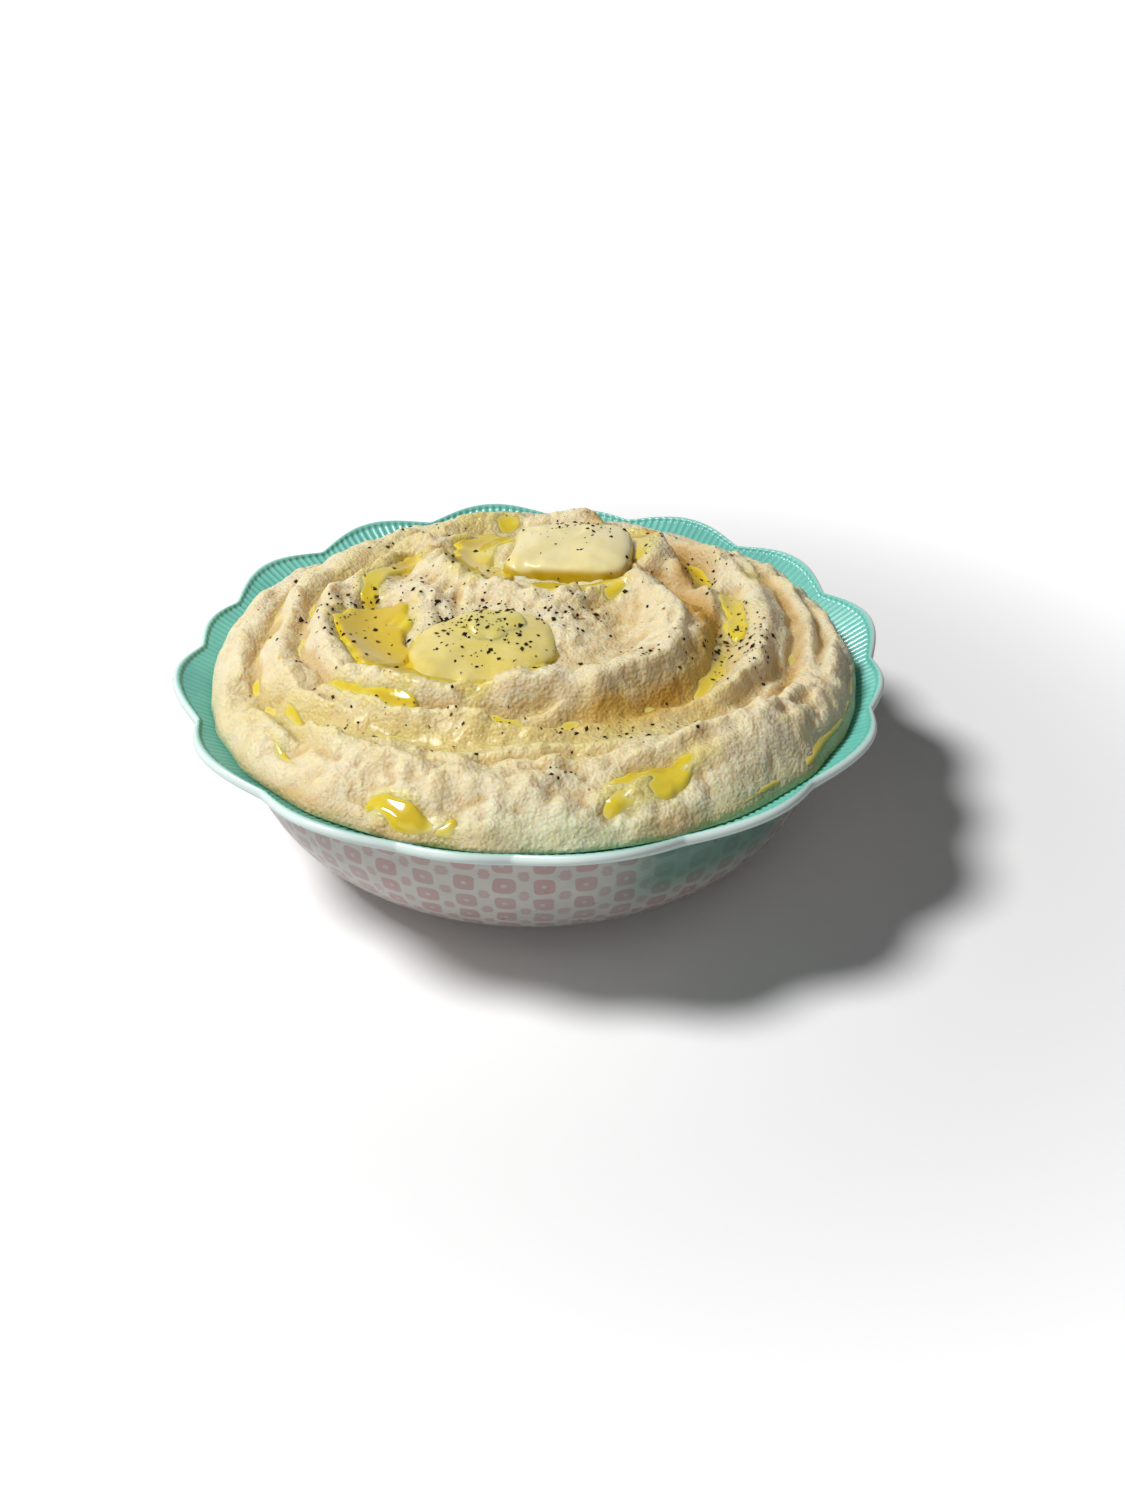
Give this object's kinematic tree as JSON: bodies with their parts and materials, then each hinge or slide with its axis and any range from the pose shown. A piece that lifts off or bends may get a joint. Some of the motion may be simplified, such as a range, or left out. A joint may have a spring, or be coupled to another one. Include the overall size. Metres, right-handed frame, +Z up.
{
  "type": "bowl of mashed potato",
  "caption": "Scalloped-rim serving bowl heaped with swirled mashed potato and softened butter pats, for a plated side dish.",
  "frame": {"origin": "centre of the foot ring's underside, on the surface the bowl stands on", "axes": "+Z up along the bowl's turning axis; -Y towards the front, where the front pat of butter lies"},
  "size_m": [0.2472, 0.2472, 0.0914],
  "materials": {
    "bowl": "glossy glaze, turquoise inside, pale with pink shapes outside",
    "mash": "moist and creamy",
    "butter_front": "softened and melting",
    "butter_back": "softened and melting"
  },
  "bodies": {
    "root": {"bowl": "bowl", "mash": "mash", "butter_front": "butter_front", "butter_back": "butter_back"}
  },
  "joints": []
}
